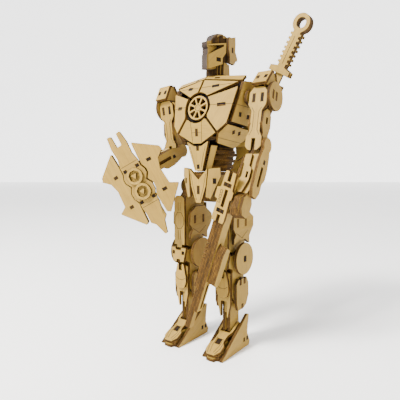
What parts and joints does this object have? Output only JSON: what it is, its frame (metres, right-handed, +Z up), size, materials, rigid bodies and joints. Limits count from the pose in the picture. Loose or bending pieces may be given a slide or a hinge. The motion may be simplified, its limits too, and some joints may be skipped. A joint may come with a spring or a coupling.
{
  "type": "collectible figurine",
  "caption": "Standing plywood robot figure with helmet, faceted armour, a two-wing shield, a long gun and a sheathed sword, on jointed limbs.",
  "frame": {"origin": "on the ground, at the middle of the whole figure's bounding box seen from above", "axes": "+Z up, -Y the way the figure faces, +X the figure's left"},
  "size_m": [0.187, 0.1066, 0.331],
  "materials": {
    "birch_ply": "laser-cut birch plywood, pale sanded faces and dark burnt edges",
    "dowel": "round hardwood dowel, plain"
  },
  "bodies": {
    "torso": {"chest_side_panels": "birch_ply", "chest_upper_panels": "birch_ply", "collar_plates": "birch_ply", "chest_centre_panel": "birch_ply", "chest_vent_wheel": "birch_ply", "flank_panels": "birch_ply", "chest_frame": "birch_ply", "back_plates": "birch_ply", "abdomen_plates": "birch_ply", "waist_plies": "birch_ply", "scabbard": "birch_ply"},
    "pelvis": {"pelvis_plies": "birch_ply", "pelvis_pins": "dowel", "hip_caps": "birch_ply", "crotch_plate": "birch_ply", "hip_skirts": "birch_ply"},
    "head": {"cheek_plates": "birch_ply", "helmet_plies": "birch_ply", "ear_plates": "birch_ply", "neck": "birch_ply"},
    "sword": {"sword_blade": "birch_ply", "sword_grip": "birch_ply"},
    "shoulder_left": {"shoulder_hub_left": "birch_ply"},
    "upper_arm_left": {"arm_core_left": "birch_ply", "arm_plates_left": "birch_ply", "shoulder_cap_left": "birch_ply"},
    "forearm_left": {"forearm_plies_left": "birch_ply", "forearm_plates_left": "birch_ply", "hand_plies_left": "birch_ply", "gun_body": "birch_ply", "gun_receiver": "birch_ply", "gun_fore_grip": "birch_ply"},
    "shoulder_right": {"shoulder_hub_right": "birch_ply"},
    "upper_arm_right": {"arm_core_right": "birch_ply", "arm_plates_right": "birch_ply", "shoulder_cap_right": "birch_ply"},
    "forearm_right": {"forearm_plies_right": "birch_ply", "forearm_plates_right": "birch_ply", "hand_plies_right": "birch_ply"},
    "shield": {"shield_blade": "birch_ply", "shield_boss": "birch_ply", "shield_wings": "birch_ply"},
    "thigh_left": {"thigh_core_left": "birch_ply", "thigh_plates_left": "birch_ply", "knee_discs_left": "birch_ply"},
    "shin_left": {"shin_core_left": "birch_ply", "shin_plates_left": "birch_ply", "calf_plates_left": "birch_ply"},
    "foot_left": {"foot_soles_left": "birch_ply", "foot_side_plates_left": "birch_ply", "toe_cap_left": "birch_ply"},
    "thigh_right": {"thigh_core_right": "birch_ply", "thigh_plates_right": "birch_ply", "knee_discs_right": "birch_ply"},
    "shin_right": {"shin_core_right": "birch_ply", "shin_plates_right": "birch_ply", "calf_plates_right": "birch_ply"},
    "foot_right": {"foot_soles_right": "birch_ply", "foot_side_plates_right": "birch_ply", "toe_cap_right": "birch_ply"}
  },
  "joints": [
    {"name": "waist_turn", "type": "hinge", "parent": "pelvis", "child": "torso", "pos_m": [0.00081, 0.01534, 0.18], "axis": [0, 0, 1], "range_deg": [-8, 3]},
    {"name": "neck_turn", "type": "hinge", "parent": "torso", "child": "head", "pos_m": [0.00081, 0.02334, 0.269], "axis": [0, 0, 1], "range_deg": [-60, 50]},
    {"name": "sword_draw", "type": "slide", "parent": "torso", "child": "sword", "axis": [0.4863, 0, 0.8738], "range_m": [0, 0.1]},
    {"name": "shield_turn", "type": "hinge", "parent": "forearm_right", "child": "shield", "pos_m": [-0.05169, -0.03806, 0.1679], "axis": [0.454, -0.891, 0], "range_deg": [-30, 30]},
    {"name": "shoulder_swing_left", "type": "hinge", "parent": "torso", "child": "shoulder_left", "pos_m": [0.04581, 0.01634, 0.251], "axis": [-1, 0, 0], "range_deg": [0, 60]},
    {"name": "arm_raise_left", "type": "hinge", "parent": "shoulder_left", "child": "upper_arm_left", "pos_m": [0.05261, 0.01634, 0.251], "axis": [0, -0.9781, 0.2079], "range_deg": [0, 22]},
    {"name": "elbow_bend_left", "type": "hinge", "parent": "upper_arm_left", "child": "forearm_left", "pos_m": [0.05881, 0.00636, 0.20405], "axis": [-1, 0, 0], "range_deg": [0, 50]},
    {"name": "hip_swing_left", "type": "hinge", "parent": "pelvis", "child": "thigh_left", "pos_m": [0.02781, 0.01534, 0.165], "axis": [1, 0, 0], "range_deg": [-3, 30]},
    {"name": "knee_bend_left", "type": "hinge", "parent": "thigh_left", "child": "shin_left", "pos_m": [0.02781, 0.01234, 0.094], "axis": [1, 0, 0], "range_deg": [0, 60]},
    {"name": "ankle_rock_left", "type": "hinge", "parent": "shin_left", "child": "foot_left", "pos_m": [0.02781, 0.01034, 0.0135], "axis": [1, 0, 0], "range_deg": [-8, 8]},
    {"name": "shoulder_swing_right", "type": "hinge", "parent": "torso", "child": "shoulder_right", "pos_m": [-0.04419, 0.01634, 0.251], "axis": [-1, 0, 0], "range_deg": [0, 35]},
    {"name": "arm_raise_right", "type": "hinge", "parent": "shoulder_right", "child": "upper_arm_right", "pos_m": [-0.05099, 0.01634, 0.251], "axis": [0, 0.9976, 0.0698], "range_deg": [0, 22]},
    {"name": "elbow_bend_right", "type": "hinge", "parent": "upper_arm_right", "child": "forearm_right", "pos_m": [-0.05382, 0.01971, 0.2028], "axis": [-0.9976, 0.0049, -0.0696], "range_deg": [0, 20]},
    {"name": "hip_swing_right", "type": "hinge", "parent": "pelvis", "child": "thigh_right", "pos_m": [-0.02619, 0.01534, 0.165], "axis": [1, 0, 0], "range_deg": [-3, 30]},
    {"name": "knee_bend_right", "type": "hinge", "parent": "thigh_right", "child": "shin_right", "pos_m": [-0.02619, 0.01234, 0.094], "axis": [1, 0, 0], "range_deg": [0, 60]},
    {"name": "ankle_rock_right", "type": "hinge", "parent": "shin_right", "child": "foot_right", "pos_m": [-0.02619, 0.01034, 0.0135], "axis": [1, 0, 0], "range_deg": [-8, 8]}
  ]
}
